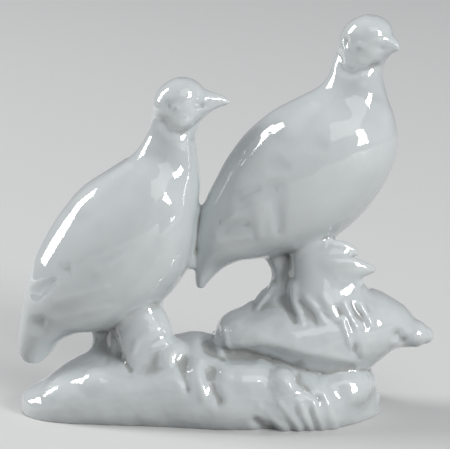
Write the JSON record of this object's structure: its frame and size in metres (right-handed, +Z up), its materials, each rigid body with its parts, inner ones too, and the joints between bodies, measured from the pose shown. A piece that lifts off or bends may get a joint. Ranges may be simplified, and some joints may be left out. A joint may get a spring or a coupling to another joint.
{
  "type": "bird pair figurine",
  "caption": "Glazed white porcelain figurine of two partridges standing on a rocky base with a leafy twig, cast in one piece.",
  "frame": {"origin": "under the middle of the figure, on the plane of its foot rim", "axes": "+X the way the left bird looks, -Y the modelled front seen in the picture, +Z up"},
  "size_m": [0.1552, 0.0542, 0.1496],
  "materials": {
    "glazed_porcelain": "clear gloss glaze over white porcelain, slightly cool"
  },
  "bodies": {
    "root": {"partridge_pair": "glazed_porcelain"}
  },
  "joints": []
}
